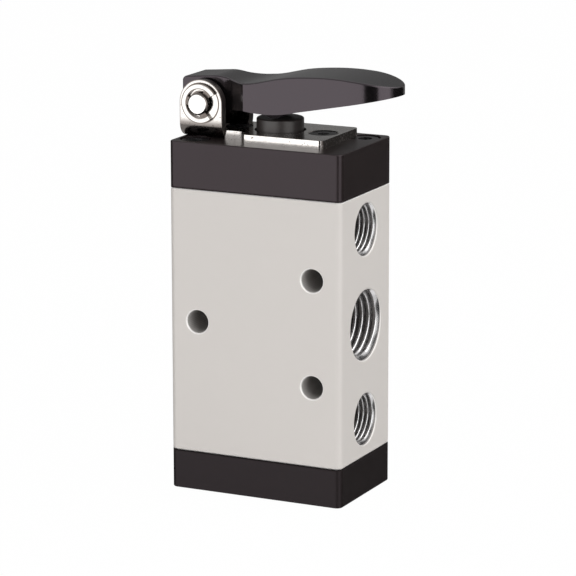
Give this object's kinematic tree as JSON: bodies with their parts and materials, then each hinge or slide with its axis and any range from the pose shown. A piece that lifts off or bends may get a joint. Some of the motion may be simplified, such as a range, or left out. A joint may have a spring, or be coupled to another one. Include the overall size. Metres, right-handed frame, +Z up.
{
  "type": "hand lever air valve",
  "caption": "Spool air valve with a rectangular metal body, threaded ports on both sides, dark end caps and a hinged thumb lever on a folded bracket that presses a sprung plunger.",
  "frame": {"origin": "centre of the bottom cap's lower face", "axes": "+Z up along the spool towards the lever, +X out of the inlet port, -Y the front face with the mounting holes"},
  "size_m": [0.0423, 0.022, 0.0781],
  "materials": {
    "body_alloy": "bead blasted and clear anodised",
    "cap_plastic": "fine matt moulding",
    "lever_plastic": "satin moulding",
    "plunger_plastic": "turned, satin",
    "bracket_steel": "bright nickel plate on folded sheet",
    "pin_steel": "ground",
    "clip_steel": "spring steel, stamped",
    "screw_steel": "black oxide",
    "spring_steel": "drawn wire",
    "spool_alloy": "turned",
    "seal_rubber": "moulded"
  },
  "bodies": {
    "root": {"valve_body": "body_alloy", "top_cap": "cap_plastic", "bottom_cap": "cap_plastic", "top_cap_seal": "seal_rubber", "bottom_cap_seal": "seal_rubber", "top_cap_screws": "screw_steel", "bottom_cap_screws": "screw_steel", "plunger_wiper": "seal_rubber", "lever_bracket": "bracket_steel", "bracket_screws": "screw_steel", "hinge_pin": "pin_steel", "e_clip_front": "clip_steel", "e_clip_rear": "clip_steel"},
    "plunger": {"plunger": "plunger_plastic", "spool": "spool_alloy", "return_spring": "spring_steel", "spool_seal_1": "seal_rubber", "spool_seal_2": "seal_rubber", "spool_seal_3": "seal_rubber", "spool_seal_4": "seal_rubber", "spool_seal_5": "seal_rubber", "spool_seal_6": "seal_rubber"},
    "lever": {"lever": "lever_plastic"}
  },
  "joints": [
    {"name": "lever_press", "type": "hinge", "parent": "root", "child": "lever", "pos_m": [-0.013, 0, 0.0718], "axis": [0, 1, 0], "range_deg": [0, 9.31]},
    {"name": "plunger_slide", "type": "slide", "parent": "root", "child": "plunger", "axis": [0, 0, -1], "range_m": [0, 0.00212], "stiffness_N_per_m": 1500, "springref_m": -0.0005, "deforming": ["return_spring"]}
  ],
  "couplings": [
    {"joint": "lever_press", "follows": "plunger_slide", "rad_per_m": 76.6}
  ]
}
